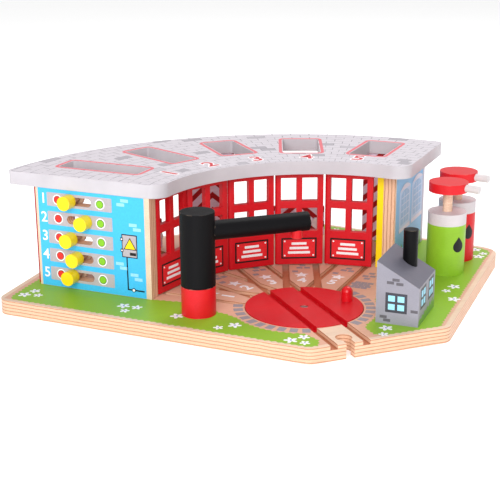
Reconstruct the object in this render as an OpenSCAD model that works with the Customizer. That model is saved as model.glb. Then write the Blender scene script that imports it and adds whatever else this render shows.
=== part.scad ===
// Wooden roundhouse for a toy railway: a track board with a turntable, five engine stalls
// under a curved roof, a lever wall, a water crane, two fuel pumps and a small house.
// Origin: turntable axis on the underside of the board. +X to the right, +Y to the stalls, +Z up.

/* [Track board] */
// Thickness of the plywood board
board_t = 12; // [10:0.5:14]
// Distance from the turntable axis to the straight front edge
board_front = 81.3; // [78:0.1:90]
// Distance from the turntable axis to the straight back edge
board_back = 228; // [224:1:240]
// Radius on the board's outer corners
board_corner_r = 11; // [4:1:16]
// Radius on the board's right-hand corner
board_right_corner_r = 20; // [10:1:24]
// Width of a wheel groove
groove_w = 6; // [5:0.1:6.5]
// Depth of a wheel groove
groove_d = 3.5; // [2.5:0.1:4]
// Distance between the two groove centre lines
track_gauge = 26; // [25:0.5:27]
// Radius of the connector socket in the front edge
socket_r = 6.25; // [6:0.05:6.5]
// Distance of the socket centre from the front edge
socket_inset = 11.5; // [10:0.1:13]
// Width of the socket's neck
socket_neck_w = 6.6; // [6:0.1:7.5]

/* [Turntable] */
// Radius of the turntable disc
turntable_r = 46; // [44:0.1:47]
// Radial gap between the disc and its well
turntable_gap = 0.5; // [0.3:0.1:1]
// Thickness of the disc
turntable_t = 8; // [7:0.1:8.5]
// Height of the disc's top above the board
turntable_rise = 0.5; // [0.2:0.1:1]
// Distance of the finger peg from the turntable axis
peg_distance = 37; // [30:1:40]
// Direction of the finger peg
peg_angle = 0; // [-20:1:20]
// Radius of the finger peg
peg_r = 4.6; // [3:0.1:5]
// Height of the finger peg above the disc
peg_h = 11.5; // [8:0.5:13]

/* [Engine stalls] */
// Angle between two neighbouring stall tracks
stall_step = 22.5; // [22:0.1:23]
// Distance from the turntable axis to the end of a stall track
stall_end = 192; // [185:1:192]
// X of the centre of the door and roof arcs
arc_x = -2.2; // [-4:0.1:0]
// Y of the centre of the door and roof arcs
arc_y = -28.6; // [-30:0.1:-27]
// Distance from the arc centre to the front face of a door
door_apothem = 133.5; // [133:0.1:135]
// Angle between two neighbouring doors
door_step = 18; // [17.9:0.05:18.2]

/* [Walls] */
// Height of the walls, from the board to the roof
wall_h = 82.9; // [80:0.1:86]
// Thickness of the left wall
left_wall_t = 10; // [9:0.1:11]
// Thickness of the right wall
right_wall_t = 10.5; // [9:0.1:11]
// Distance of the left wall's outer face from the first stall's centre line
left_wall_offset = 32.5; // [32:0.1:33]
// Distance of the right wall's outer face from the fifth stall's centre line
right_wall_offset = 37; // [36.5:0.1:38]
// Distance of the walls' front ends from the turntable axis, along the stall
wall_start = 116.3; // [116:0.1:118]
// Distance of the left wall's back end from the turntable axis, along the stall
left_wall_end = 220.2; // [217:0.1:221]
// Distance of the right wall's back end from the turntable axis, along the stall
right_wall_end = 208.8; // [204:0.1:212]

/* [Roof] */
// Thickness of the roof
roof_t = 11; // [9:0.5:13]
// Radius of the roof's front edge
roof_front_r = 123.8; // [120:0.1:125]
// Radius of the roof's back edge
roof_back_r = 260.5; // [258:0.5:262]
// X of the centre of the roof's back edge
roof_back_x = -23; // [-24:0.5:-22]
// Y of the centre of the roof's back edge
roof_back_y = -42; // [-43:0.5:-41]
// Distance of the roof's left end from the first stall's centre line
roof_left = 33; // [33:0.5:40]
// Distance of the roof's right end from the fifth stall's centre line
roof_right = 51.5; // [44:0.5:53]
// Radius on the roof's two front corners
roof_front_corner_r = 14; // [8:1:16]
// Radius on the roof's two back corners
roof_back_corner_r = 5; // [4:1:10]
// Radius on the corners of a roof opening
vent_corner_r = 2; // [1:0.5:4]

/* [Doors] */
// Width of a door
door_w = 41.2; // [40.2:0.1:41.4]
// Thickness of a door
door_t = 5; // [4:0.1:5.5]
// Gap under a door
door_foot_gap = 0.8; // [0.5:0.1:1.5]
// Gap over a door
door_head_gap = 0.6; // [0.5:0.1:1.5]
// Width of a window pane opening
pane_w = 13.2; // [11:0.1:13.5]
// Height of a window pane opening
pane_h = 20; // [16:0.5:21]
// Height of the lower panes above the board
lower_pane_z = 31; // [29:0.5:33]
// Height of the upper panes above the board
upper_pane_z = 57.5; // [56:0.5:59]
// Radius of a door's steel hinge pin
door_pin_r = 1.2; // [1:0.05:1.4]

/* [Levers] */
// Travel of a lever along its slot
lever_travel = 16.3; // [12:0.1:18]
// Distance from the turntable axis to a lever at its red end, along the wall
lever_red_x = 188.1; // [186:0.1:194]
// Height of the lowest lever above the board
lever_z = 11.3; // [10.5:0.1:12.5]
// Height between two levers
lever_pitch = 15.65; // [15:0.05:16]
// Radius of a lever's dowel
lever_shaft_r = 3; // [2.5:0.1:3.2]
// Radius of a lever's knob
lever_knob_r = 5.8; // [5:0.1:6.2]
// Length of a lever's knob
lever_knob_len = 9.5; // [7:0.1:11]

/* [Back panels and buffer stops] */
// Thickness of the back panels
panel_t = 4; // [3:0.1:5]
// Width of the back panels
panel_w = 43; // [40:0.5:44]
// Width of the low buffer stops
stop_w = 49; // [44:0.5:50]
// Height of the low buffer stops above the board
stop_h = 27; // [22:0.5:30]
// Distance of each buffer from the stall's centre line
buffer_offset = 17; // [15:0.5:19]
// Radius of a buffer
buffer_r = 4.5; // [3.5:0.1:5]

/* [Water crane] */
// X of the crane's axis
crane_x = -80.5; // [-82:0.5:-79]
// Y of the crane's axis
crane_y = 17.3; // [16:0.1:18]
// Radius of the crane's base and column
crane_r = 13.3; // [12:0.1:14]
// Height of the crane's red base
crane_base_h = 23; // [20:0.5:26]
// Height of the crane's column top above the board
crane_h = 81; // [78:0.5:84]
// Height of the crane arm's axis above the board
crane_arm_z = 65; // [62:0.5:70]
// Radius of the crane's arm
crane_arm_r = 7.5; // [6:0.1:8]
// Reach of the crane's arm from the crane's axis
crane_reach = 89; // [82:1:92]
// Direction the crane's arm points in
crane_turn = -2.4; // [-10:0.1:10]
// Radius of the crane's nozzle
nozzle_r = 4.6; // [3.5:0.1:5]
// Length of the nozzle below the crane's arm
nozzle_drop = 5; // [3:0.5:7]

/* [Fuel pumps] */
// Radius of a tank
tank_r = 16; // [14:0.1:17]
// Height of a tank's painted body
tank_h = 43; // [38:0.5:48]
// Height of a tank's grey cap
tank_cap_h = 9.9; // [8:0.1:12]
// Radius of a pump's turning disc
pump_disc_r = 16.2; // [15:0.1:17]
// Height of the disc's underside above the board
pump_disc_z = 70.3; // [67:0.1:72]
// Thickness of a pump's disc
pump_disc_t = 7.9; // [7.6:0.1:10]
// Radius of a pump's handle
handle_r = 3.2; // [2.5:0.1:3.4]
// Length of a pump's handle outside its disc
pump_handle_len = 11.5; // [9:0.5:12]
// Direction of the pump handles
pump_handle_angle = -56; // [-60:1:-50]

/* [House] */
// Length of the house
house_l = 49.7; // [46:0.1:51]
// Width of the house
house_w = 32.6; // [30:0.1:34]
// Height of the house's tall side
house_high = 48.1; // [45:0.1:52]
// Height of the house's low side
house_low = 30.2; // [28:0.1:33]
// Radius of the chimney
chimney_r = 5.6; // [4.5:0.1:6]
// Height of the chimney top above the board
chimney_top = 65; // [60:0.5:68]

/* [Hidden] */
$fn = 96;
// Small overlap that carries a cut past a face
cut = 1;
roof_z = board_t + wall_h;
// Directions of the five stall tracks, from left to right
stall_angle = [for (i = [0:4]) 90 + stall_step * (2 - i)];
// Board corners before rounding, anticlockwise from the front left
board_corners = [[-31.7, -board_front], [81.4, -board_front], [225.2, 72.1],
                 [99, board_back], [-121, board_back], [-219, 109]];
board_radii = [board_corner_r, board_corner_r, board_right_corner_r,
               board_corner_r, board_corner_r, board_corner_r];
// Where the well floor, the disc and its screw lie
disc_z = board_t + turntable_rise - turntable_t;
well_floor = disc_z - 0.2;
screw_head_r = 3;
screw_shank_r = 2;
running_gap = 0.05;
// The five roof openings: front, back, middle and width, in their stalls' frames
vents = [[142, 215.5, -7.5, 23], [139.5, 203.5, -0.5, 25.6], [136.5, 191.5, 1, 28],
         [131.5, 189, -0.7, 32], [133.2, 191, -4.7, 30]];
// How far each lever stands from its red end
lever_set = [0, lever_travel - 2, 0, 5, 0];
lever_gap = 0.5;
lever_cap_t = 3;
lever_side_gap = 0.4;
// Distance of each back panel or stop from the turntable axis: 1, 3 and 5 are tall
panel_x = [left_wall_end, 201, 194, 201, 193.5];
// Middle of each panel or stop, to the left of its stall's centre line
panel_y = [2, 0, 5.5, 0, -5];
tab_w = 30;
tab_h = 3.6;
buffer_len = 5;
buffer_z = board_t + 12;
door_hinge_inset = door_t / 2;
pin_foot_z = 6;
pin_head = 4;
stile_w = (door_w - 2 * pane_w) / 3;
pivot_r = 4;
dowel_r = 4;
dowel_bore = 5;
green_pump = [147.4, 36.7];
red_pump = [175.9, 67.3];
house_at = [64.4, -44.3];
house_turn = 46.3;
chimney_at = [9.6, 0];

// Unit vector in direction a
function heading(a) = [cos(a), sin(a)];
// Where a line along direction a, off to its left by s, leaves a circle of radius r about c
function leaves(a, s, c, r) =
    let (u = heading(a), n = heading(a + 90), d = s - c * n)
    (c * u + sqrt(r * r - d * d)) * u + s * n;
function unit(v) = v / norm(v);

// Convex plate with each of its corners rounded to its own radius
module rounded_plate(points, radii, thick) {
    count = len(points);
    corners = [for (i = [0:count - 1])
        let (p = points[i], r = radii[i],
             a = unit(points[(i + count - 1) % count] - p),
             b = unit(points[(i + 1) % count] - p),
             half = acos(a * b) / 2)
        [p + a * r / tan(half), p + b * r / tan(half), p + unit(a + b) * r / sin(half), r]];
    linear_extrude(thick) polygon([for (c = corners, i = [0, 1]) c[i]]);
    for (c = corners) translate(c[2]) cylinder(r = c[3], h = thick);
}

// The two wheel grooves of a track that runs outwards in direction a
module track_grooves(a, from, to) {
    rotate([0, 0, a])
        for (side = [-1, 1])
            translate([from, side * track_gauge / 2 - groove_w / 2, board_t - groove_d])
                cube([to - from, groove_w, groove_d + cut]);
}

// Moves to a door's own frame: X along the door, Y away from the turntable
module at_door(i) {
    translate([arc_x, arc_y, 0]) rotate([0, 0, door_step * (3 - i)]) translate([0, door_apothem, 0])
        children();
}

// Moves to a stall's own frame: X along its track, away from the turntable
module at_stall(i) {
    rotate([0, 0, stall_angle[i - 1]]) children();
}

// Moves to a lever's dowel axis: X along the wall, Z out of the wall from its inner face
module at_lever(i) {
    at_stall(1)
        translate([lever_red_x - lever_set[i - 1],
                   left_wall_offset - left_wall_t,
                   board_t + lever_z + lever_pitch * (5 - i)])
            rotate([-90, 0, 0]) children();
}

module hinge_pin_line(i, r, from, to) {
    at_door(i) translate([door_hinge_inset - door_w / 2, door_t / 2, from])
        cylinder(r = r, h = to - from);
}

// ---- Board and turntable ----

module board() {
    color("burlywood") difference() {
        rounded_plate(board_corners, board_radii, board_t);
        translate([0, 0, well_floor]) cylinder(r = turntable_r + turntable_gap, h = board_t);
        translate([0, 0, well_floor / 2]) cylinder(r = screw_shank_r, h = board_t);
        for (a = stall_angle) track_grooves(a, turntable_r - 6, stall_end);
        track_grooves(-90, turntable_r - 6, board_front + cut);
        translate([0, socket_inset - board_front, -cut]) {
            cylinder(r = socket_r, h = board_t + 2 * cut);
            translate([-socket_neck_w / 2, -socket_inset - cut, 0])
                cube([socket_neck_w, socket_inset + cut, board_t + 2 * cut]);
        }
        for (i = [1:5]) hinge_pin_line(i, door_pin_r, pin_foot_z, board_t + cut);
    }
}

module turntable() {
    color("crimson") difference() {
        translate([0, 0, disc_z]) cylinder(r = turntable_r, h = turntable_t);
        for (side = [-1, 1])
            translate([side * track_gauge / 2 - groove_w / 2, -turntable_r - cut,
                       board_t + turntable_rise - groove_d])
                cube([groove_w, 2 * (turntable_r + cut), groove_d + cut]);
        translate([0, 0, disc_z - cut])
            cylinder(r = screw_shank_r + running_gap, h = turntable_t + 2 * cut);
        translate([0, 0, board_t + turntable_rise - 2.5]) cylinder(r = screw_head_r + 0.4, h = 4);
        turntable_peg_at() translate([0, 0, -5]) cylinder(r = peg_r, h = 5 + cut);
    }
}

module turntable_screw() {
    head_z = board_t + turntable_rise - 2.3;
    color("silver") difference() {
        union() {
            translate([0, 0, head_z]) cylinder(r = screw_head_r, h = 1.8);
            translate([0, 0, well_floor / 2]) cylinder(r = screw_shank_r, h = head_z - well_floor / 2);
        }
        translate([-screw_head_r, -0.5, head_z + 1]) cube([2 * screw_head_r, 1, 2]);
    }
}

module turntable_peg_at() {
    translate(concat(peg_distance * heading(peg_angle), board_t + turntable_rise)) children();
}

module turntable_peg() {
    color("red") turntable_peg_at() rotate_extrude() union() {
        translate([0, -5]) square([peg_r, peg_h + 5 - peg_r]);
        intersection() {
            translate([0, peg_h - peg_r]) circle(r = peg_r);
            translate([0, peg_h - peg_r]) square(peg_r);
        }
    }
}

// ---- Walls, doors and roof ----

module left_wall() {
    slot_r = lever_shaft_r + lever_side_gap;
    color("deepskyblue") difference() {
        at_stall(1) translate([wall_start, left_wall_offset - left_wall_t, board_t])
            cube([left_wall_end - wall_start, left_wall_t, wall_h]);
        for (row = [0:4])
            at_stall(1)
                translate([lever_red_x, left_wall_offset - left_wall_t - cut,
                           board_t + lever_z + lever_pitch * row])
                    rotate([-90, 0, 0]) {
                        for (x = [-lever_travel, 0])
                            translate([x, 0, 0]) cylinder(r = slot_r, h = left_wall_t + 2 * cut);
                        translate([-lever_travel, -slot_r, 0])
                            cube([lever_travel, 2 * slot_r, left_wall_t + 2 * cut]);
                    }
    }
}

module right_wall() {
    color("lightskyblue")
        at_stall(5) translate([wall_start, -right_wall_offset, board_t])
            cube([right_wall_end - wall_start, right_wall_t, wall_h]);
}

module door_post() {
    color("gold")
        at_stall(5) translate([wall_start, right_wall_t - right_wall_offset, board_t])
            cube([8, 5.6, wall_h]);
}

module roof_outline() {
    reach = 2 * roof_back_r;
    difference() {
        intersection() {
            translate([roof_back_x, roof_back_y]) circle(r = roof_back_r);
            polygon([60 * heading(stall_angle[0]) + roof_left * heading(stall_angle[0] + 90),
                     60 * heading(stall_angle[4]) - roof_right * heading(stall_angle[4] + 90),
                     reach * heading(stall_angle[4]) - roof_right * heading(stall_angle[4] + 90),
                     reach * heading(stall_angle[0]) + roof_left * heading(stall_angle[0] + 90)]);
        }
        translate([arc_x, arc_y]) circle(r = roof_front_r);
    }
}

// What rounding takes off one roof corner: the end edge runs along direction a, off to its left
// by s; the arc has centre c and radius arc_r, and the roof lies outside it where out is 1
module roof_corner(a, s, c, arc_r, r, out) {
    inward = s > 0 ? -1 : 1;
    side = heading(a + 90) * inward;
    sharp = leaves(a, s, c, arc_r);
    middle = leaves(a, s + inward * r, c, arc_r + out * r);
    on_line = middle - side * (r + cut);
    on_arc = middle - unit(middle - c) * out * (r + cut);
    translate([0, 0, roof_z - cut]) difference() {
        linear_extrude(roof_t + 2 * cut)
            polygon([middle, on_line, sharp + (sharp - middle) * 0.4, on_arc]);
        translate(middle) translate([0, 0, -cut]) cylinder(r = r + 0.03, h = roof_t + 4 * cut);
    }
}

module roof_vent(i) {
    v = vents[i - 1];
    at_stall(i) translate([0, 0, roof_z - cut])
        rounded_plate([[v[0], v[2] - v[3] / 2], [v[1], v[2] - v[3] / 2],
                       [v[1], v[2] + v[3] / 2], [v[0], v[2] + v[3] / 2]],
                      [for (k = [1:4]) vent_corner_r], roof_t + 2 * cut);
}

module roof() {
    front_centre = [arc_x, arc_y];
    back_centre = [roof_back_x, roof_back_y];
    color("gainsboro") difference() {
        translate([0, 0, roof_z]) linear_extrude(roof_t) roof_outline();
        for (i = [1:5]) roof_vent(i);
        for (i = [3, 5]) panel_tab(i);
        for (i = [1:5]) hinge_pin_line(i, door_pin_r, roof_z - cut, roof_z + pin_head);
        for (end = [[stall_angle[0], roof_left], [stall_angle[4], -roof_right]]) {
            roof_corner(end[0], end[1], front_centre, roof_front_r, roof_front_corner_r, 1);
            roof_corner(end[0], end[1], back_centre, roof_back_r, roof_back_corner_r, -1);
        }
    }
}

// A door with four window openings, rounded along its hinged edge
module door(i) {
    color("red") difference() {
        at_door(i) translate([0, 0, board_t + door_foot_gap]) {
            height = wall_h - door_foot_gap - door_head_gap;
            translate([door_hinge_inset - door_w / 2, 0, 0])
                cube([door_w - door_hinge_inset, door_t, height]);
            translate([door_hinge_inset - door_w / 2, door_t / 2, 0])
                cylinder(r = door_t / 2, h = height);
        }
        at_door(i)
            for (x = [stile_w - door_w / 2, stile_w / 2], z = [lower_pane_z, upper_pane_z])
                translate([x, -cut, board_t + z]) cube([pane_w, door_t + 2 * cut, pane_h]);
        hinge_pin_line(i, door_pin_r + running_gap, board_t, roof_z);
    }
}

module door_pin(i) {
    color("silver") hinge_pin_line(i, door_pin_r, pin_foot_z, roof_z + pin_head);
}

// ---- Levers ----

module lever_knob(i) {
    color("gold") at_lever(i) translate([0, 0, left_wall_t + lever_gap]) difference() {
        cylinder(r = lever_knob_r, h = lever_knob_len);
        translate([0, 0, -cut]) cylinder(r = lever_shaft_r, h = cut + lever_knob_len - 3);
    }
}

module lever_shaft(i) {
    foot = -lever_gap - lever_cap_t;
    color("burlywood") at_lever(i) translate([0, 0, foot])
        cylinder(r = lever_shaft_r, h = left_wall_t + lever_gap + lever_knob_len - 3 - foot);
}

module lever_cap(i) {
    color("burlywood") at_lever(i) translate([0, 0, -lever_gap - lever_cap_t]) difference() {
        cylinder(r = lever_knob_r, h = lever_cap_t);
        translate([0, 0, -cut]) cylinder(r = lever_shaft_r, h = lever_cap_t + 2 * cut);
    }
}

// ---- Back panels and buffer stops ----

module panel_tab(i) {
    at_stall(i) translate([panel_x[i - 1], panel_y[i - 1] - tab_w / 2, roof_z - cut])
        cube([panel_t, tab_w, tab_h + cut]);
}

// A tall striped panel; the two that stand under the roof's openings have a tab into the roof
module back_panel(i, width) {
    color("firebrick") union() {
        at_stall(i) translate([panel_x[i - 1], panel_y[i - 1] - width / 2, board_t])
            cube([panel_t, width, wall_h]);
        if (i != 1) panel_tab(i);
    }
}

module buffer_stop(i) {
    color("firebrick")
        at_stall(i) translate([panel_x[i - 1], -stop_w / 2, board_t])
            cube([panel_t, stop_w, stop_h]);
}

module buffer(i, side) {
    color("whitesmoke")
        at_stall(i) translate([panel_x[i - 1] - buffer_len, side * buffer_offset, buffer_z])
            rotate([0, 90, 0]) cylinder(r = buffer_r, h = buffer_len);
}

// ---- Water crane ----

module at_crane(z) {
    translate([crane_x, crane_y, board_t + z]) children();
}

module crane_base() {
    color("red") at_crane(0) difference() {
        cylinder(r = crane_r, h = crane_base_h);
        translate([0, 0, crane_base_h - 12]) cylinder(r = pivot_r, h = 12 + cut);
    }
}

module crane_pivot() {
    color("burlywood") at_crane(crane_base_h - 12) cylinder(r = pivot_r, h = 30);
}

module crane_column() {
    foot = crane_base_h + 0.3;
    color("black") difference() {
        at_crane(foot) cylinder(r = crane_r, h = crane_h - foot);
        at_crane(foot - cut) cylinder(r = pivot_r + running_gap, h = 19 + cut);
    }
}

module crane_arm() {
    color("black") difference() {
        at_crane(crane_arm_z) rotate([0, 90, crane_turn]) translate([0, 0, crane_r - 3])
            cylinder(r = crane_arm_r, h = crane_reach - crane_r + 3);
        at_crane(0) cylinder(r = crane_r, h = crane_h);
        crane_nozzle_hole();
    }
}

module crane_nozzle_hole() {
    at_crane(crane_arm_z - crane_arm_r - nozzle_drop)
        translate((crane_reach - 9) * heading(crane_turn))
            cylinder(r = nozzle_r, h = crane_arm_r + nozzle_drop);
}

module crane_nozzle() {
    color("red") crane_nozzle_hole();
}

// ---- Fuel pumps ----

module at_pump(place, z) {
    translate([place.x, place.y, board_t + z]) children();
}

module tank(place, paint) {
    color(paint) at_pump(place, 0) cylinder(r = tank_r, h = tank_h);
}

module tank_cap(place) {
    color("lightgray") at_pump(place, tank_h) difference() {
        cylinder(r = tank_r, h = tank_cap_h);
        translate([0, 0, 1]) cylinder(r = dowel_r, h = tank_cap_h);
    }
}

module pump_dowel(place) {
    color("burlywood") at_pump(place, tank_h + 1)
        cylinder(r = dowel_r, h = pump_disc_z + dowel_bore - tank_h - 1);
}

module pump_disc(place) {
    color("red") difference() {
        at_pump(place, pump_disc_z) cylinder(r = pump_disc_r, h = pump_disc_t);
        at_pump(place, pump_disc_z - cut) cylinder(r = dowel_r + running_gap, h = dowel_bore + 0.2 + cut);
        pump_handle_at(place);
    }
}

module pump_handle_at(place) {
    at_pump(place, pump_disc_z + pump_disc_t / 2) rotate([0, 90, pump_handle_angle])
        translate([0, 0, pump_disc_r - 8]) cylinder(r = handle_r, h = pump_handle_len + 8);
}

module pump_handle(place) {
    color("darkgray") pump_handle_at(place);
}

// ---- House ----

module at_house() {
    translate(concat(house_at, board_t)) rotate([0, 0, house_turn]) children();
}

module house() {
    color("slategray") difference() {
        at_house() rotate([90, 0, 90]) linear_extrude(house_l, center = true)
            polygon([[-house_w / 2, 0], [house_w / 2, 0],
                     [house_w / 2, house_high], [-house_w / 2, house_low]]);
        at_house() translate(concat(chimney_at, house_low - 6)) cylinder(r = chimney_r, h = house_high);
    }
}

module house_chimney() {
    color("black") at_house() translate(concat(chimney_at, house_low - 6))
        cylinder(r = chimney_r, h = chimney_top - house_low + 6);
}

board();
turntable();
turntable_screw();
turntable_peg();
left_wall();
right_wall();
door_post();
roof();
for (i = [1:5]) {
    door(i);
    door_pin(i);
    lever_knob(i);
    lever_shaft(i);
    lever_cap(i);
}
back_panel(1, 53);  // back_panel_1
back_panel(3, panel_w);  // back_panel_3
back_panel(5, panel_w);  // back_panel_5
for (i = [2, 4]) {
    buffer_stop(i);
    buffer(i, 1);
    buffer(i, -1);
}
crane_base();
crane_pivot();
crane_column();
crane_arm();
crane_nozzle();
tank(green_pump, "yellowgreen");  // green_tank
tank_cap(green_pump);  // green_tank_cap
pump_dowel(green_pump);  // green_pump_dowel
pump_disc(green_pump);  // green_pump_disc
pump_handle(green_pump);  // green_pump_handle
tank(red_pump, "red");  // red_tank
tank_cap(red_pump);  // red_tank_cap
pump_dowel(red_pump);  // red_pump_dowel
pump_disc(red_pump);  // red_pump_disc
pump_handle(red_pump);  // red_pump_handle
house();
house_chimney();
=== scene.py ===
"""Looks of a wooden roundhouse for a toy railway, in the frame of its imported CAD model."""
import math
import random

import bmesh
import bpy
from mathutils import Matrix, Vector


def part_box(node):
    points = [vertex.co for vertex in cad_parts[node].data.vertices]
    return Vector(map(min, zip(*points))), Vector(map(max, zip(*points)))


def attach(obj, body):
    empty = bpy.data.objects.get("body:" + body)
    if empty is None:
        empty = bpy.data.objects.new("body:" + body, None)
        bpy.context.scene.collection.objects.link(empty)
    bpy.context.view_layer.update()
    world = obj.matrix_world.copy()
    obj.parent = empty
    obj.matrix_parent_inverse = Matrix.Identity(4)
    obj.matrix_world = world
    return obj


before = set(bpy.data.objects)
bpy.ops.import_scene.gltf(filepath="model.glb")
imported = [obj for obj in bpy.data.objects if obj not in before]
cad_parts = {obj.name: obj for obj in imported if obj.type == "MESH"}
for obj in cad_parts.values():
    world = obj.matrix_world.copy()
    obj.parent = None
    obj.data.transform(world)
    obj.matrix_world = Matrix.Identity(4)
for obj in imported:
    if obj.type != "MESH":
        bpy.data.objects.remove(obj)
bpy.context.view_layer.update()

MM = 0.001
SEED = 7

# Driving places, in millimetres, from the CAD model's own boxes


def low(node):
    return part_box(node)[0] / MM


def high(node):
    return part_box(node)[1] / MM


def middle(node):
    return (low(node) + high(node)) / 2


BOARD_TOP = high("board").z
WALL_TOP = low("roof").z
ROOF_TOP = high("roof").z
STALL_ANGLES = [135, 112.5, 90, 67.5, 45]  # of the stalls' tracks, round the turntable
DOOR_TURNS = [36, 18, 0, -18, -36]
ARC_CENTRE = Vector((-2.2, -28.6))  # of the row of doors and the roof
DOOR_APOTHEM = 133.5
WALL_START = 116.3  # from the turntable's axis to the front end of each side wall
RIGHT_WALL_LENGTH = 92.5
LEFT_WALL_T, RIGHT_WALL_T = 10, 10.5
LEFT_WALL_FACE, RIGHT_WALL_FACE = 32.5, -37  # outer faces, to the left of their stalls' middles
FILM = 0.1  # thickness of one printed layer
SUNK = 0.04  # how far the lowest layer reaches into the wood


def heading(degrees):
    return Vector((math.cos(math.radians(degrees)), math.sin(math.radians(degrees))))


# ---- Colours and materials ----


def srgb(r, g, b):
    """Linear colour of an sRGB one that is given from 0 to 255."""
    def linear(c):
        c /= 255
        return c / 12.92 if c <= 0.04045 else ((c + 0.055) / 1.055) ** 2.4
    return (linear(r), linear(g), linear(b), 1)


def shade(colour, factor):
    return tuple(min(1, c * factor) for c in colour[:3]) + (1,)


class Look:
    """A node material under construction. Its coordinates are the frame's own, at rest."""

    def __init__(self, name):
        self.material = bpy.data.materials.new(name)
        self.material.use_nodes = True
        self.nodes = self.material.node_tree.nodes
        self.links = self.material.node_tree.links
        self.nodes.clear()
        self.shader = self.add("ShaderNodeBsdfPrincipled")
        output = self.add("ShaderNodeOutputMaterial")
        self.links.new(self.shader.outputs[0], output.inputs[0])
        self.place = self.add("ShaderNodeTexCoord").outputs["Object"]

    def add(self, kind, **settings):
        node = self.nodes.new(kind)
        for key, value in settings.items():
            setattr(node, key, value)
        return node

    def feed(self, socket, value):
        if isinstance(value, bpy.types.NodeSocket):
            self.links.new(value, socket)
        else:
            socket.default_value = value

    def math(self, operation, *values, clamp=False):
        node = self.add("ShaderNodeMath", operation=operation, use_clamp=clamp)
        for socket, value in zip(node.inputs, values):
            self.feed(socket, value)
        return node.outputs[0]

    def dot(self, direction, place=None):
        """Distance along a direction, in millimetres."""
        node = self.add("ShaderNodeVectorMath", operation="DOT_PRODUCT")
        self.feed(node.inputs[0], place or self.place)
        node.inputs[1].default_value = Vector(direction) / MM
        return node.outputs["Value"]

    def facing(self, direction):
        """How far the surface faces along or against a direction, from 0 to 1."""
        node = self.add("ShaderNodeVectorMath", operation="DOT_PRODUCT")
        self.feed(node.inputs[0], self.normal())
        node.inputs[1].default_value = direction
        return self.math("ABSOLUTE", node.outputs["Value"])

    def normal(self):
        turned = self.add("ShaderNodeVectorTransform", vector_type="NORMAL",
                          convert_from="WORLD", convert_to="OBJECT")
        self.feed(turned.inputs[0], self.add("ShaderNodeNewGeometry").outputs["Normal"])
        return turned.outputs[0]

    def vector(self, x, y, z):
        node = self.add("ShaderNodeCombineXYZ")
        for socket, value in zip(node.inputs, (x, y, z)):
            self.feed(socket, value)
        return node.outputs[0]

    def noise(self, size, stretch=1, along=(1, 0, 0), detail=3, place=None):
        """Noise whose blobs are size mm across and stretch times longer along a direction."""
        along = Vector(along).normalized()
        turn = along.rotation_difference(Vector((1, 0, 0))).to_euler()
        mapping = self.add("ShaderNodeMapping")
        self.feed(mapping.inputs["Vector"], place or self.place)
        mapping.inputs["Rotation"].default_value = turn
        across = 1 / (size * MM)
        mapping.inputs["Scale"].default_value = (across / stretch, across, across)
        node = self.add("ShaderNodeTexNoise")
        self.feed(node.inputs["Vector"], mapping.outputs[0])
        node.inputs["Scale"].default_value = 1
        node.inputs["Detail"].default_value = detail
        node.inputs["Roughness"].default_value = 0.55
        return node.outputs["Fac"]

    def band(self, value, start, end, first=0, last=1):
        node = self.add("ShaderNodeMapRange", clamp=True)
        for socket, number in zip(node.inputs, (value, start, end, first, last)):
            self.feed(socket, number)
        return node.outputs[0]

    def mix(self, amount, a, b, blend="MIX"):
        node = self.add("ShaderNodeMix", data_type="RGBA", blend_type=blend)
        self.feed(node.inputs["Factor"], amount)
        self.feed(node.inputs["A"], a)
        self.feed(node.inputs["B"], b)
        return node.outputs["Result"]

    def bump(self, height, strength, depth):
        """Bump of a height from 0 to 1, whose full depth is given in millimetres."""
        node = self.add("ShaderNodeBump")
        node.inputs["Strength"].default_value = strength
        node.inputs["Distance"].default_value = depth * MM
        self.feed(node.inputs["Height"], height)
        self.feed(self.shader.inputs["Normal"], node.outputs[0])

    def edge(self):
        """1 on the rounded edges of a piece and 0 on its flat and cylindrical faces."""
        bevel = self.add("ShaderNodeBevel", samples=4)
        bevel.inputs["Radius"].default_value = 0.9 * MM
        node = self.add("ShaderNodeVectorMath", operation="DOT_PRODUCT")
        self.feed(node.inputs[0], bevel.outputs[0])
        self.feed(node.inputs[1], self.add("ShaderNodeNewGeometry").outputs["Normal"])
        return self.band(node.outputs["Value"], 0.985, 0.9)

    def finish(self, rough, coat=0.0, coat_rough=0.25, metal=0.0, specular=0.4):
        self.feed(self.shader.inputs["Roughness"], rough)
        self.shader.inputs["Specular IOR Level"].default_value = specular
        self.shader.inputs["Coat Weight"].default_value = coat
        self.shader.inputs["Coat Roughness"].default_value = coat_rough
        self.shader.inputs["Metallic"].default_value = metal
        return self.material


BIRCH = srgb(233, 205, 180)
BIRCH_DARK = srgb(201, 152, 118)
PRINTED_GROUND = srgb(218, 168, 143)
# floors of the grooves: bare routed wood, darkened further as painted shade in the grooves
GROOVE_WOOD_AND_PAINTED_SHADE = srgb(190, 116, 82)
PLY_LIGHT = srgb(234, 192, 160)
PLY_DARK = srgb(190, 132, 102)
GRASS = srgb(138, 182, 42)
RED = srgb(214, 16, 28)
DOOR_RED = srgb(206, 8, 26)
BLACK = srgb(11, 10, 13)
SKY_BLUE = srgb(66, 186, 240)
PALE_BLUE = srgb(128, 186, 234)
YELLOW = srgb(253, 217, 8)
ROOF_GREY = srgb(214, 207, 214)
WHITE = srgb(244, 242, 245)
PRINT_GREY = srgb(180, 172, 178)
TANK_GREEN = srgb(140, 186, 42)
HOUSE_GREY = srgb(148, 146, 158)
SLATE = srgb(104, 102, 114)


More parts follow.
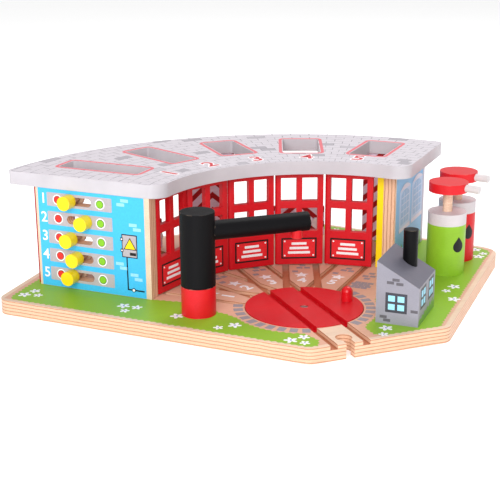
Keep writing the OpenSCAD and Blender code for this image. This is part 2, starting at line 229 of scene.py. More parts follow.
def paint(name, colour, along=(0, 0, 1), rough=0.42, coat=0.05, grain=0.5, worn=0.35,
          specular=0.3, top=None):
    """Satin paint on wood: faint streaks along the grain, brushed relief and slightly worn edges.

    top is a second colour, for the faces that look upwards.
    """
    look = Look(name)
    clouds = look.noise(26, 1, along, 2)
    streaks = look.noise(0.9, 26, along, 4)
    tone = look.mix(look.band(clouds, 0.3, 0.7), shade(colour, 0.93), shade(colour, 1.05))
    tone = look.mix(look.math("MULTIPLY", look.band(streaks, 0.45, 0.72), 0.16), tone,
                    shade(colour, 0.62))
    if top:
        tone = look.mix(look.band(look.facing((0, 0, 1)), 0.5, 0.7), tone, top)
    patches = look.band(look.noise(5, 2, along, 4), 0.5, 0.68)
    wear = look.math("MULTIPLY", look.math("MULTIPLY", look.edge(), patches), worn)
    look.feed(look.shader.inputs["Base Color"], look.mix(wear, tone, shade(BIRCH, 0.95)))
    look.bump(streaks, grain, 0.12)
    return look.finish(look.band(clouds, 0.3, 0.7, rough - 0.05, rough + 0.06), coat,
                       specular=specular)


def ink(name, colour, along=(1, 0, 0), rough=0.46):
    """A printed film: even colour with a trace of the wood grain under it."""
    look = Look(name)
    streaks = look.noise(0.7, 30, along, 3)
    speckle = look.noise(1.3, 1, along, 2)
    tone = look.mix(look.band(speckle, 0.35, 0.65), shade(colour, 0.95), shade(colour, 1.04))
    tone = look.mix(look.math("MULTIPLY", look.band(streaks, 0.5, 0.75), 0.14), tone,
                    shade(colour, 0.7))
    look.feed(look.shader.inputs["Base Color"], tone)
    look.bump(streaks, 0.25, 0.05)
    return look.finish(look.band(speckle, 0.3, 0.7, rough - 0.05, rough + 0.05), 0.04,
                       specular=0.3)


def plywood(name, across, start, thick, along, plies=9, ground=None):
    """Birch plywood: veneer grain on its faces, and plies on its edges.

    across is the direction through the board, start and thick its place and thickness there,
    and along the direction of the face grain. ground(look, tone) returns the tinted face colour.
    """
    look = Look(name)
    grain = look.noise(0.8, 45, along, 4)
    figure = look.noise(9, 7, along, 3)
    tone = look.mix(look.band(figure, 0.35, 0.7), BIRCH, shade(BIRCH, 0.9))
    if ground:
        tone = ground(look, tone)
    veneer = look.mix(look.math("MULTIPLY", look.band(grain, 0.48, 0.74), 0.5), tone, BIRCH_DARK)
    wobble = look.math("MULTIPLY", look.noise(7, 4, along, 3), 1.1)
    depth = look.math("ADD", look.dot(across), wobble)
    layer = look.math("DIVIDE", look.math("SUBTRACT", depth, start), thick / plies)
    parity = look.math("PINGPONG", layer, 1)
    fibres = look.noise(0.5, 16, along, 4)
    light = look.mix(look.math("MULTIPLY", look.band(fibres, 0.4, 0.7), 0.35), PLY_LIGHT, PLY_DARK)
    dark = look.mix(look.math("MULTIPLY", look.band(fibres, 0.4, 0.7), 0.5), PLY_DARK,
                    shade(PLY_DARK, 0.7))
    edges = look.mix(look.band(parity, 0.66, 0.84), light, dark)
    flat = look.band(look.facing(Vector(across)), 0.72, 0.9)
    look.feed(look.shader.inputs["Base Color"], look.mix(flat, edges, veneer))
    relief = look.math("ADD", look.math("MULTIPLY", parity, 0.5), fibres)
    look.bump(look.mix(flat, relief, grain), 0.4, 0.12)
    return look.finish(look.band(figure, 0.3, 0.7, 0.44, 0.56), 0.08)


def turned_wood(name, along, colour=BIRCH):
    """Bare dowel: long grain on its side and rings on its ends."""
    look = Look(name)
    grain = look.noise(0.7, 22, along, 4)
    rings = look.noise(1.6, 0.15, along, 2)
    tone = look.mix(look.math("MULTIPLY", look.band(grain, 0.42, 0.72), 0.65), colour, BIRCH_DARK)
    tone = look.mix(look.math("MULTIPLY", look.band(rings, 0.5, 0.7), 0.25), tone, BIRCH_DARK)
    look.feed(look.shader.inputs["Base Color"], tone)
    look.bump(grain, 0.35, 0.1)
    return look.finish(0.55)


def steel(name):
    look = Look(name)
    scratches = look.noise(0.4, 12, (1, 1, 0), 4)
    look.feed(look.shader.inputs["Base Color"],
              look.mix(scratches, srgb(150, 148, 145), srgb(205, 203, 200)))
    look.bump(scratches, 0.2, 0.04)
    return look.finish(look.band(scratches, 0.3, 0.7, 0.22, 0.4), metal=1.0)


def chevrons(name, stall_angle, middle):
    """Dark red and pale stripes that rise to a line at middle, left of the stall's centre line."""
    look = Look(name)
    side = heading(stall_angle + 90).to_3d()
    away = look.math("ABSOLUTE", look.math("SUBTRACT", look.dot(side), middle))
    climb = look.math("ADD", look.math("MULTIPLY", away, 0.85), look.dot((0, 0, 1)))
    stripe = look.math("PINGPONG", look.math("DIVIDE", look.math("ADD", climb, 28.6), 7.1), 1)
    streaks = look.noise(0.8, 24, (0, 0, 1), 3)
    red = look.mix(look.band(streaks, 0.4, 0.75), srgb(176, 6, 18), srgb(146, 4, 14))
    pale = look.mix(look.band(streaks, 0.4, 0.75), srgb(238, 222, 242), srgb(222, 202, 226))
    face = look.mix(look.band(stripe, 0.37, 0.45), red, pale)
    flat = look.band(look.facing(heading(stall_angle).to_3d()), 0.7, 0.9)
    look.feed(look.shader.inputs["Base Color"], look.mix(flat, red, face))
    look.bump(streaks, 0.3, 0.06)
    return look.finish(0.46, 0.04, specular=0.3)


def slates(name):
    """Painted roof whose top is printed with rows of pale slabs along its arc."""
    look = Look(name)
    clouds = look.noise(30, 1, (1, 0, 0), 3)
    grain = look.noise(0.9, 40, (1, 0, 0), 4)
    x = look.math("SUBTRACT", look.dot((1, 0, 0)), ARC_CENTRE.x)
    y = look.math("SUBTRACT", look.dot((0, 1, 0)), ARC_CENTRE.y)
    radius = look.math("SQRT", look.math("ADD", look.math("MULTIPLY", x, x),
                                         look.math("MULTIPLY", y, y)))
    turn = look.math("MULTIPLY", look.math("ARCTAN2", x, y), 160)
    brick = look.add("ShaderNodeTexBrick", offset=0.5, squash=1.0)
    look.feed(brick.inputs["Vector"], look.vector(turn, radius, 0))
    for socket, value in (("Scale", 1), ("Mortar Size", 0.3), ("Mortar Smooth", 0.2), ("Bias", 0),
                          ("Brick Width", 11.5), ("Row Height", 9),
                          ("Color1", (0, 0, 0, 1)), ("Color2", (1, 1, 1, 1)),
                          ("Mortar", (0.5, 0.5, 0.5, 1))):
        brick.inputs[socket].default_value = value
    broken = look.band(look.noise(6, 1, (1, 0, 0), 3), 0.36, 0.5)
    joints = look.math("MULTIPLY", look.math("MULTIPLY", brick.outputs["Fac"], broken), 0.8)
    tint = look.add("ShaderNodeSeparateColor")
    look.feed(tint.inputs[0], brick.outputs["Color"])
    dark_slab = look.math("MULTIPLY", look.band(tint.outputs[0], 0.92, 0.94), 0.8)
    base = look.mix(look.band(clouds, 0.35, 0.7), srgb(198, 193, 199), srgb(188, 183, 189))
    slab = look.mix(look.math("MULTIPLY", look.noise(2.5, 1, (1, 0, 0), 3), 0.35), ROOF_GREY,
                    srgb(188, 181, 189))
    slab = look.mix(dark_slab, slab, srgb(160, 154, 162))
    slab = look.mix(joints, slab, srgb(112, 106, 114))
    top = look.band(look.facing((0, 0, 1)), 0.85, 0.97)
    above = look.band(look.dot((0, 0, 1)), ROOF_TOP - 2, ROOF_TOP - 1)
    look.feed(look.shader.inputs["Base Color"],
              look.mix(look.math("MULTIPLY", top, above), base, slab))
    look.bump(grain, 0.25, 0.08)
    return look.finish(look.band(clouds, 0.3, 0.7, 0.42, 0.52), 0.05, specular=0.3)


# ---- Shapes ----


def soften(name, width, segments=3):
    """Rounds a CAD node's sharp edges as sanding does."""
    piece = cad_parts[name]
    weld = piece.modifiers.new("weld", "WELD")
    weld.merge_threshold = 0.00001
    bevel = piece.modifiers.new("sanded_edges", "BEVEL")
    bevel.width = width * MM
    bevel.segments = segments
    bevel.limit_method = "ANGLE"
    bevel.angle_limit = math.radians(35)
    bevel.use_clamp_overlap = True
    normals = piece.modifiers.new("normals", "WEIGHTED_NORMAL")
    normals.keep_sharp = False
    return piece


def dress(name, material, width=0.6, segments=3):
    piece = soften(name, width, segments)
    piece.data.materials.clear()
    piece.data.materials.append(material)


def surface(origin, right, up):
    """Frame of a flat surface: X to the right and Y up as seen from outside, Z out of it."""
    right, up = Vector(right).to_3d().normalized(), Vector(up).to_3d().normalized()
    out = right.cross(up)
    rows = [[right[i], up[i], out[i], Vector(origin)[i]] for i in range(3)]
    return Matrix(rows + [[0, 0, 0, 1]])


def bend(vertices, radius):
    """Wraps flat shapes round a cylinder of that radius: X becomes the way round it."""
    for v in vertices:
        turn, out = v.co.x / radius, radius + v.co.z
        v.co = Vector((out * math.sin(turn), v.co.y, out * math.cos(turn)))


class Print:
    """All the shapes of one ink that are printed on one body, as one thin solid film."""

    def __init__(self, name, body, material, slot):
        self.name, self.body, self.material, self.slot = name, body, material, slot
        self.mesh = bmesh.new()

    def take(self, curve, place, level, radius):
        curve.dimensions = "2D"
        curve.fill_mode = "BOTH"
        bottom = -SUNK if level == 0 else FILM * level - SUNK / 2
        curve.extrude = (FILM * (level + 1) - bottom) / 2
        holder = bpy.data.objects.new("print_outline", curve)
        bpy.context.scene.collection.objects.link(holder)
        graph = bpy.context.evaluated_depsgraph_get()
        flat = bpy.data.meshes.new_from_object(holder.evaluated_get(graph))
        bpy.data.objects.remove(holder)
        part = bmesh.new()
        part.from_mesh(flat)
        bpy.data.meshes.remove(flat)
        bmesh.ops.remove_doubles(part, verts=part.verts, dist=0.002)
        bmesh.ops.translate(part, verts=part.verts, vec=(0, 0, bottom + curve.extrude))
        if radius:
            width = max(abs(v.co.x) for v in part.verts)
            for i in range(-5, 6):
                bmesh.ops.bisect_plane(part, geom=part.verts[:] + part.edges[:] + part.faces[:],
                                       plane_co=(i * width / 6, 0, 0), plane_no=(1, 0, 0))
            bend(part.verts, radius)
        part.transform(place)
        made = bpy.data.meshes.new("part")
        part.to_mesh(made)
        part.free()
        self.mesh.from_mesh(made)
        bpy.data.meshes.remove(made)

    def shape(self, place, *loops, level=0, radius=None):
        """Fills loops of (x, y) points; a loop inside another is a hole in it."""
        curve = bpy.data.curves.new("outline", "CURVE")
        for loop in loops:
            spline = curve.splines.new("POLY")
            spline.points.add(len(loop) - 1)
            for point, (x, y) in zip(spline.points, loop):
                point.co = (x, y, 0, 1)
            spline.use_cyclic_u = True
        self.take(curve, place, level, radius)

    def sign(self, place, text, size, level=0, heavier=0.0):
        """A generic number, centred on the place."""
        curve = bpy.data.curves.new("number", "FONT")
        curve.body = text
        curve.size = size
        curve.offset = heavier
        curve.resolution_u = 4
        curve.align_x = "CENTER"
        curve.align_y = "CENTER"
        self.take(curve, place, level, None)

    def build(self):
        bmesh.ops.transform(self.mesh, matrix=Matrix.Scale(MM, 4), verts=self.mesh.verts)
        bmesh.ops.recalc_face_normals(self.mesh, faces=self.mesh.faces)
        mesh = bpy.data.meshes.new(self.name)
        self.mesh.to_mesh(mesh)
        self.mesh.free()
        piece = bpy.data.objects.new(self.name, mesh)
        mesh.materials.append(self.material)
        bpy.context.scene.collection.objects.link(piece)
        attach(piece, self.body)
        return piece


def circle(x, y, r, count=28):
    return [(x + r * math.cos(math.tau * i / count), y + r * math.sin(math.tau * i / count))
            for i in range(count)]


def arc(x, y, r, start, end, count=12):
    return [(x + r * math.cos(math.radians(start + (end - start) * i / count)),
             y + r * math.sin(math.radians(start + (end - start) * i / count)))
            for i in range(count + 1)]


def rectangle(x0, y0, x1, y1, r=0.0):
    if not r:
        return [(x0, y0), (x1, y0), (x1, y1), (x0, y1)]
    return (arc(x1 - r, y1 - r, r, 0, 90, 4) + arc(x0 + r, y1 - r, r, 90, 180, 4)
            + arc(x0 + r, y0 + r, r, 180, 270, 4) + arc(x1 - r, y0 + r, r, 270, 360, 4))


def lozenge(x0, x1, y, r):
    """A slot with round ends."""
    return arc(x1, y, r, -90, 90, 10) + arc(x0, y, r, 90, 270, 10)


def bar(x0, y0, x1, y1, width):
    """A straight line of that width."""
    side = Vector((y0 - y1, x1 - x0)).normalized() * width / 2
    return [(x0 + side.x, y0 + side.y), (x1 + side.x, y1 + side.y),
            (x1 - side.x, y1 - side.y), (x0 - side.x, y0 - side.y)]


def star(x, y, r, turn=90, points=5, waist=0.45):
    return [(x + r * (waist if i % 2 else 1) * math.cos(math.radians(turn + 180 * i / points)),
             y + r * (waist if i % 2 else 1) * math.sin(math.radians(turn + 180 * i / points)))
            for i in range(2 * points)]


def flower(x, y, r, turn, count=60):
    """Five pointed petals."""
    def reach(angle):
        return r * (0.34 + 0.66 * abs(math.cos(2.5 * angle)) ** 1.3)
    angles = [math.tau * i / count for i in range(count)]
    return [(x + reach(a) * math.cos(a + turn), y + reach(a) * math.sin(a + turn))
            for a in angles]


def jagged(outline, step=1.5, depth=0.8):
    """The outline as a row of small uneven teeth."""
    chance = random.Random(SEED)
    points, teeth = [Vector(p) for p in outline], []
    for a, b in zip(points, points[1:] + points[:1]):
        length = (b - a).length
        count = max(1, round(length / step))
        side = Vector((b.y - a.y, a.x - b.x)).normalized()
        for i in range(count):
            out = depth * (0.5 + chance.random()) * (1 if len(teeth) % 2 else -1) / 2
            teeth.append(tuple(a.lerp(b, i / count) + side * out))
    return teeth


# ---- Surfaces that carry prints ----

UP = (0, 0, 1)
BOARD = surface((0, 0, BOARD_TOP), (1, 0, 0), (0, 1, 0))


def stall_point(i, along, left):
    place = along * heading(STALL_ANGLES[i]) + left * heading(STALL_ANGLES[i] + 90)
    return Vector((place.x, place.y, BOARD_TOP))


# Outer face of each side wall; X runs from its front end, to the left on the left wall
LEFT_WALL = surface(stall_point(0, WALL_START, LEFT_WALL_FACE), heading(STALL_ANGLES[0] - 180), UP)
RIGHT_WALL = surface(stall_point(4, WALL_START, RIGHT_WALL_FACE), heading(STALL_ANGLES[4]), UP)


def door_face(i):
    """Front of a door, from the middle of its foot."""
    turn = heading(90 + DOOR_TURNS[i])
    place = ARC_CENTRE + turn * DOOR_APOTHEM
    return surface((place.x, place.y, BOARD_TOP), (turn.y, -turn.x), UP)


def flat_on_stall(i, along, left=0.0, z=BOARD_TOP):
    """A place on a stall's track that is read from the turntable."""
    place = stall_point(i, along, left)
    out = heading(STALL_ANGLES[i])
    return surface((place.x, place.y, z), (out.y, -out.x), out)


# ---- Wood, paint and metal on the CAD nodes ----


BOARD_CORNERS = [(-31.7, -81.3), (81.4, -81.3), (225.2, 72.1), (99, 228), (-121, 228),
                 (-219, 109)]


def dress_board():
    def printed(look, tone):
        inside = None
        for a, b in zip(BOARD_CORNERS, BOARD_CORNERS[1:] + BOARD_CORNERS[:1]):
            edge = (Vector(b) - Vector(a)).normalized()
            inward = Vector((-edge.y, edge.x))
            gap = look.math("SUBTRACT", look.dot(inward.to_3d()), inward.dot(Vector(a)))
            inside = gap if inside is None else look.math("MINIMUM", inside, gap)
        ragged = look.math("ADD", inside, look.noise(1.5, 1, (1, 0, 0), 2))
        margin = look.band(ragged, 4.2, 5)
        beside_entry = look.band(look.math("ABSOLUTE", look.dot((1, 0, 0))), 9.5, 10)
        behind_entry = look.band(look.dot((0, 1, 0)), -48, -47)
        mask = look.math("MULTIPLY", margin, look.math("MAXIMUM", beside_entry, behind_entry))
        # Flat faces below the top, such as the floors of the grooves and the turntable's recess, take
        # the groove colour: bare routed wood with painted shade.
        floor = look.band(look.dot((0, 0, 1)), BOARD_TOP - 1, BOARD_TOP - 1.2)
        return look.mix(floor, look.mix(mask, tone, PRINTED_GROUND), GROOVE_WOOD_AND_PAINTED_SHADE)

    dress("board", plywood("birch_board", (0, 0, 1), 0, BOARD_TOP, (1, 0, 0), 9, printed), 0.5, 2)


def dress_buildings():
    left_out = heading(STALL_ANGLES[0] + 90).to_3d()
    right_out = -heading(STALL_ANGLES[4] + 90).to_3d()
    wall_left = plywood("birch_left_wall", left_out, LEFT_WALL_FACE - LEFT_WALL_T, LEFT_WALL_T, UP, 7)
    wall_right = plywood("birch_right_wall", right_out, -RIGHT_WALL_FACE - RIGHT_WALL_T, RIGHT_WALL_T,
                         UP, 7)
    dress("left_wall", wall_left, 0.5)
    dress("right_wall", wall_right, 0.5)
    dress("door_post", paint("yellow_post_paint", YELLOW), 0.6)
    dress("roof", slates("roof_slates"), 0.9, 4)
    door_paint = paint("door_paint", DOOR_RED, worn=0.2)
    pin_steel = steel("pin_steel")
    for i in range(1, 6):
        dress(f"door_{i}", door_paint, 0.5, 2)
        dress(f"door_pin_{i}", pin_steel, 0.15, 2)
    for i, middle_line in ((1, 2), (3, 5.7), (5, -7)):
        dress(f"back_panel_{i}",
              chevrons(f"panel_stripes_{i}", STALL_ANGLES[i - 1], middle_line), 0.3, 2)
    pale = paint("buffer_paint", WHITE, (0, 1, 0))
    for i in (2, 4):
        dress(f"buffer_stop_{i}", chevrons(f"stop_stripes_{i}", STALL_ANGLES[i - 1], 0), 0.4, 2)
        dress(f"buffer_left_{i}", pale, 0.6)
        dress(f"buffer_right_{i}", pale, 0.6)


def dress_levers():
    out = tuple(heading(STALL_ANGLES[0] + 90).to_3d())
    knob = paint("lever_yellow", YELLOW, out, rough=0.36, coat=0.15)
    # The dowels are birch darkened to 0.72 as painted shade, because they are seen through the slots
    # in the shade inside the shed.
    shaft = turned_wood("lever_dowel_painted_shade", out, shade(BIRCH, 0.72))
    cap = turned_wood("lever_cap_wood", out)
    for i in range(1, 6):
        dress(f"lever_knob_{i}", knob, 0.9, 4)
        dress(f"lever_shaft_{i}", shaft, 0.3)
        dress(f"lever_cap_{i}", cap, 0.5)


def dress_turntable():
    dress("turntable", paint("turntable_red", srgb(208, 12, 26), (0, 1, 0), 0.38, 0.12, 0.35, 0.2),
          0.5, 3)
    dress("turntable_screw", steel("screw_steel"), 0.2)
    dress("turntable_peg", paint("peg_red", RED, rough=0.3, coat=0.25), 0.2)


def dress_crane():
    dress("crane_base", paint("crane_red", RED, rough=0.4), 0.8)
    dress("crane_nozzle", paint("nozzle_red", RED), 0.5)
    dress("crane_column", paint("crane_black", BLACK, rough=0.5, coat=0, grain=0.8,
                                worn=0.5, specular=0.12), 1.0, 4)
    dress("crane_arm", paint("arm_black", BLACK, (1, 0, 0), 0.5, 0, 0.8, 0.5, 0.12), 0.9, 4)
    dress("crane_pivot", turned_wood("pivot_dowel", UP), 0.4)


PUMP_HANDLE_ANGLE = -56


def dress_pumps():
    grey = paint("cap_grey", srgb(206, 198, 202))
    disc = paint("disc_red", srgb(216, 22, 32), (1, 0.3, 0), rough=0.42)
    handle_way = heading(PUMP_HANDLE_ANGLE).to_3d()
    handle = paint("handle_grey", srgb(214, 207, 208), handle_way, grain=0.7)
    dowel = turned_wood("pump_dowel_wood", UP)
    for colour, shown in (("green", TANK_GREEN), ("red", RED)):
        dress(f"{colour}_tank", paint(f"{colour}_tank_paint", shown, rough=0.4), 0.7)
        dress(f"{colour}_tank_cap", grey, 0.7)
        dress(f"{colour}_pump_dowel", dowel, 0.2)
        dress(f"{colour}_pump_disc", disc, 1.0, 4)
        dress(f"{colour}_pump_handle", handle, 0.8, 4)


def dress_house():
    dress("house", paint("house_paint", HOUSE_GREY, rough=0.5, worn=0.3, top=SLATE), 0.8)
    dress("house_chimney", paint("chimney_black", BLACK, coat=0, grain=0.8, specular=0.12), 0.8, 4)


dress_board()
dress_buildings()
dress_levers()
dress_turntable()
dress_crane()
dress_pumps()
dress_house()

# ---- Printed scenery on the board ----

RING_GRASS = 57.5  # inner radius of the grass
RING_SLEEPERS = 51.6  # radius of the ring of stones round the turntable
BED_R = 6.5
FLOWER_SIZES = (5.4, 4, 4.6)
# Each flower bed: edge of the board, way along it, way in from it, flowers, and their turn
FLOWER_BEDS = [(5, 19, 22, 3, 180), (5, 107, 23, 3, 108), (5, 150, 22, 1, 0),
               (5, 194, 17, 2, 0), (5, 254, 13, 3, 160), (0, 65, 11, 2, 54),
               (1, 62, 10, 1, 0), (1, 86, 18, 2, 31),
               (1, 181, 13, 1, 0), (1, 196, 15, 2, 90), (2, 150, 12, 2, 320), (4, 53, 14, 2, 220)]


def beside_edge(edge, along, inset):
    """A point beside a straight edge of the board, which starts at the corner of that number."""
    start, end = Vector(BOARD_CORNERS[edge]), Vector(BOARD_CORNERS[(edge + 1) % 6])
    run = (end - start).normalized()
    return start + run * along + Vector((-run.y, run.x)) * inset


def print_board():
    grass = Print("board_grass", "base", ink("grass_ink", GRASS), "board_ply")
    left = ([(-19, -68), (-24, -77.5), (-31, -77.5), (-205, 101.3), (-208.2, 106.5), (-205.5, 112.5)]
            + [(-117, 219), (-108, 219), (-155, 155)]
            + [stall_point(0, WALL_START - 1, 31).xy[:], (-84, 46), (-67, 15), (-61.5, 7)]
            + arc(0, 0, RING_GRASS, 183, 246, 12))
    right = ([(23, -60), (23, -72), (29, -77), (76, -77), (197, 52)]
             + arc(197.8, 73, 15, -43, 39, 6) + [(97, 223.5), (84, 223.5), (138, 150)]
             + [stall_point(4, WALL_START - 1, -33).xy[:]]
             + arc(0, 0, RING_GRASS + 1, -8, -60, 10))
    grass.shape(BOARD, jagged(left, 2.6, 1.6))
    grass.shape(BOARD, jagged(right, 2.6, 1.6))
    grass.build()

    chance = random.Random(SEED)
    petals = Print("board_flowers", "base", ink("flower_ink", WHITE), "board_ply")
    centres = Print("board_flower_centres", "base", ink("flower_centre_ink", srgb(120, 140, 190)),
                    "board_ply")
    for edge, along, inset, count, turn in FLOWER_BEDS:
        bed = beside_edge(edge, along, inset)
        for k in range(count):
            spot = bed + (BED_R if count > 1 else 0) * heading(turn + 360 * k / count)
            r = FLOWER_SIZES[k]
            petals.shape(BOARD, flower(spot.x, spot.y, r, chance.uniform(0, math.tau)), level=1)
            centres.shape(BOARD, circle(spot.x, spot.y, r * 0.17, 12), level=2)
    petals.build()
    centres.build()

    stone = Print("board_sleepers", "base", ink("stone_ink", srgb(148, 142, 148)), "board_ply")
    ring = [155 + 10.3 * i for i in range(10)] + [15 - 10 * i for i in range(9)]
    for angle in ring:
        out = heading(angle)
        place = surface((*RING_SLEEPERS * out, BOARD_TOP), (out.y, -out.x), out)
        stone.shape(place, rectangle(-3, -3.7, 3, 3.7))
    for i in range(5):
        for along, left in ((98, -5.4), (98, 1.2), (104, -1.6), (88, 5.2)):
            stone.shape(flat_on_stall(i, along, left), rectangle(-2.5, -2.2, 2.5, 2.2))
    for x in range(3):
        for y in range(4):
            shift = 2 * (y % 2)
            stone.shape(flat_on_stall(4, 60 + 4.2 * y, -29 + 5.4 * x - shift),
                        rectangle(-2.5, -1.9, 2.5, 1.9))
    for along, left in ((84, -24), (90, -21), (91, -27), (98, -24)):
        stone.shape(flat_on_stall(4, along, left), rectangle(-2.5, -2.2, 2.5, 2.2))
    stone.build()

    marks = Print("stall_numbers", "base", ink("stall_number_ink", WHITE), "board_ply")
    for i in range(5):
        marks.sign(flat_on_stall(i, 64.5), str(i + 1), 15, heavier=0.45)
        marks.shape(flat_on_stall(i, 79), star(0, 0, 6.5))
    marks.build()


# ---- Lever wall ----

LEVER_FIRST, LEVER_PITCH = 11.3, 15.65
LEVER_ROWS = [LEVER_FIRST + LEVER_PITCH * (4 - i) for i in range(5)]
SLOT_START, SLOT_END, SLOT_R = 55.5, 71.8, 3.4
RED_DOT, GREEN_DOT = 83.2, 44.1


def print_left_wall():
    slots = [lozenge(-SLOT_END, -SLOT_START, z, SLOT_R + 0.05) for z in LEVER_ROWS]
    sky = Print("left_wall_print", "base", ink("sky_ink", SKY_BLUE, UP), "left_wall_blue")
    sky.shape(LEFT_WALL, rectangle(-101.6, 0.4, -4.8, WALL_TOP - BOARD_TOP - 0.3), *slots)
    sky.build()
    plate = Print("lever_plates", "base", ink("plate_ink", PRINT_GREY, UP), "left_wall_blue")
    white = Print("lever_marks_white", "base", ink("mark_white_ink", WHITE, UP), "left_wall_blue")
    dark = Print("lever_marks_dark", "base", ink("mark_dark_ink", BLACK, UP), "left_wall_blue")
    red = Print("lever_marks_red", "base", ink("mark_red_ink", srgb(228, 46, 40), UP),
                "left_wall_blue")
    green = Print("lever_marks_green", "base", ink("mark_green_ink", srgb(132, 196, 40), UP),
                  "left_wall_blue")
    for number, (z, slot) in enumerate(zip(LEVER_ROWS, slots), 1):
        plate.shape(LEFT_WALL, rectangle(-93.2, z - 5.6, -33.4, z + 5.7, 0.8), slot, level=1)
        white.sign(LEFT_WALL @ Matrix.Translation((-96.6, z, 0)), str(number), 12, 1, 0.15)
        for x, colour in ((-RED_DOT, red), (-GREEN_DOT, green)):
            white.shape(LEFT_WALL, circle(x, z, 4.3), level=2)
            dark.shape(LEFT_WALL, circle(x, z, 3.35), level=3)
            colour.shape(LEFT_WALL, circle(x, z, 2.95), level=4)

    brick = Print("wall_bricks", "base", ink("wall_brick_ink", srgb(150, 214, 244), UP),
                  "left_wall_blue")
    for x, z, side in ((-22, 79, -1), (-15, 60, 1), (-28, 27, 1), (-15, 19, 1)):
        for k in (0, 1):
            x0, z0 = x + 3.5 * (side * k - 1), z - 3.4 * k - 1.3
            brick.shape(LEFT_WALL, rectangle(x0, z0, x0 + 7, z0 + 2.6), level=1)
    brick.build()

    box_x0, box_x1, box_z0, box_z1 = -25.6, -11.7, 32.9, 52
    dark.shape(LEFT_WALL, rectangle(box_x0, box_z0, box_x1, box_z1, 0.5), level=1)
    plate.shape(LEFT_WALL, rectangle(box_x0 + 0.8, box_z0 + 0.8, box_x1 - 0.8, box_z1 - 0.8),
                level=2)
    for z in (37.2, 46.4):
        dark.shape(LEFT_WALL, rectangle(box_x0 - 1, z, box_x0 + 1.4, z + 2.6), level=3)
        white.shape(LEFT_WALL, rectangle(box_x0 - 0.4, z + 0.7, box_x0 + 0.8, z + 1.9), level=4)
    centre = (box_x0 + box_x1) / 2 + 0.5
    dark.shape(LEFT_WALL, [(centre - 5.8, 39.6), (centre + 5.8, 39.6), (centre, 49.4)], level=3)
    yellow = Print("lever_marks_yellow", "base", ink("mark_yellow_ink", YELLOW, UP),
                   "left_wall_blue")
    yellow.shape(LEFT_WALL, [(centre - 4.7, 40.3), (centre + 4.7, 40.3), (centre, 48.2)], level=4)
    yellow.build()
    dark.shape(LEFT_WALL, rectangle(-18.4, 35, -12.9, 37.4), level=3)
    dark.shape(LEFT_WALL, bar(-21.3, 33.2, -21.1, 6.3, 1.1), level=1)
    dark.shape(LEFT_WALL, bar(-21.6, 6.4, -6.4, 6.2, 1.1), level=2)
    white.shape(LEFT_WALL, circle(-16, 6.3, 1.1, 16), level=4)
    dark.shape(LEFT_WALL, circle(-16, 6.3, 1.7, 16), level=3)
    for film in (plate, white, dark, red, green):
        film.build()


# ---- Right wall ----


def arched(x0, z0, x1, z1, rise):
    """A window outline whose head is a low arc of that rise."""
    half = (x1 - x0) / 2
    r = (half * half + rise * rise) / (2 * rise)
    spread = math.degrees(math.asin(half / r))
    return [(x0, z0), (x1, z0)] + arc((x0 + x1) / 2, z1 - r, r, 90 - spread, 90 + spread, 12)


def print_right_wall():
    sky = Print("right_wall_print", "base", ink("pale_sky_ink", PALE_BLUE, UP), "right_wall_blue")
    height = WALL_TOP - BOARD_TOP - 0.3
    sky.shape(RIGHT_WALL, rectangle(3, 0.4, RIGHT_WALL_LENGTH - 0.6, height))
    sky.build()
    strip = Print("right_wall_strip", "base", ink("strip_ink", srgb(190, 184, 202), UP),
                  "right_wall_blue")
    strip.shape(RIGHT_WALL, rectangle(86.3, 0.4, RIGHT_WALL_LENGTH - 0.6, height), level=1)
    strip.build()
    stone = Print("window_surrounds", "base", ink("surround_ink", srgb(188, 206, 238), UP),
                  "right_wall_blue")
    sill = Print("window_sills", "base", ink("sill_ink", srgb(220, 212, 228), UP),
                 "right_wall_blue")
    pane = Print("window_panes", "base", ink("pane_ink", srgb(148, 184, 224), UP),
                 "right_wall_blue")
    bars = Print("window_bars", "base", ink("window_bar_ink", srgb(200, 212, 238), UP),
                 "right_wall_blue")
    for x0, x1 in ((13.3, 46), (51.5, 85.5)):
        stone.shape(RIGHT_WALL, arched(x0, 30, x1, 68.5, 4.5), level=1)
        pane.shape(RIGHT_WALL, arched(x0 + 4.5, 34.2, x1 - 4.5, 64.3, 4), level=2)
        sill.shape(RIGHT_WALL, rectangle(x0 - 0.5, 28, x1 + 0.5, 31.5), level=2)
        sill.shape(RIGHT_WALL, arched(x0 + 0.5, 64.6, x1 - 0.5, 69.1, 4.4), level=3)
        for k in range(1, 3):
            x = x0 + 4.5 + (x1 - x0 - 9) * k / 3
            bars.shape(RIGHT_WALL, rectangle(x - 0.5, 34.2, x + 0.5, 62.6), level=3)
        for k in range(1, 5):
            z = 34.2 + 5.9 * k
            bars.shape(RIGHT_WALL, rectangle(x0 + 4.5, z - 0.5, x1 - 4.5, z + 0.5), level=4)
    for film in (stone, sill, pane, bars):
        film.build()
    bush = Print("right_wall_bushes", "base", ink("bush_ink", srgb(112, 156, 92), UP),
                 "right_wall_blue")
    tops = [(4 + 3 * i, 8 + 7 * math.sin(i * 1.9) ** 2 + 3 * math.cos(i)) for i in range(28)]
    bush.shape(RIGHT_WALL, jagged([(3, 0.4), (86, 0.4)] + [(x, z) for x, z in reversed(tops)],
                                  2.0, 1.0), level=1)
    bush.build()


# ---- Doors ----


